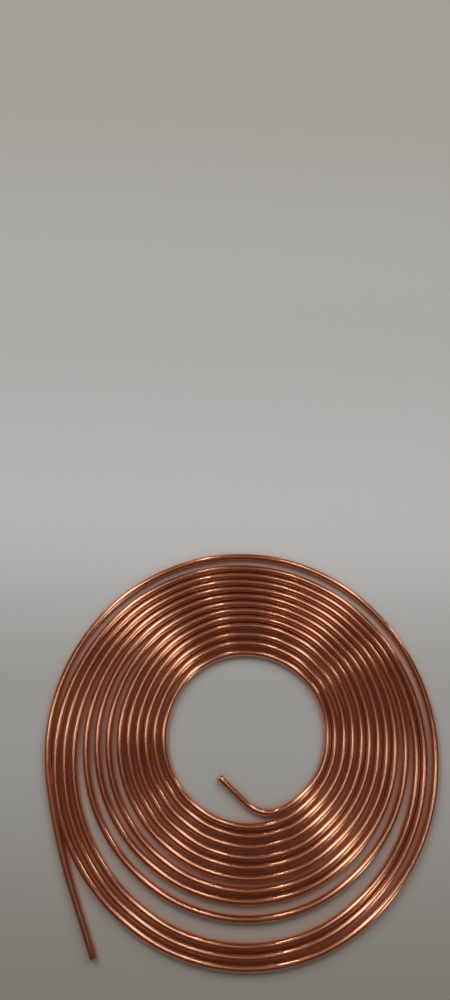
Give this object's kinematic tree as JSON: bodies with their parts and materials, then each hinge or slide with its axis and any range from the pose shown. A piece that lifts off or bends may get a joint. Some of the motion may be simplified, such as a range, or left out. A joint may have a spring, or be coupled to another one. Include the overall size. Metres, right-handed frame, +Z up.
{
  "type": "copper tube coil",
  "caption": "Soft copper tube wound into a flat single-layer coil with open gaps between its turns and both plain-cut ends free.",
  "frame": {"origin": "under the middle of the coil's outline, on the floor it lies on", "axes": "+Z up out of the flat coil; -Y towards the side where the outer end runs to"},
  "size_m": [0.271, 0.272, 0.0048],
  "materials": {
    "copper": "satin"
  },
  "bodies": {
    "root": {"copper_tube": "copper"}
  },
  "joints": []
}
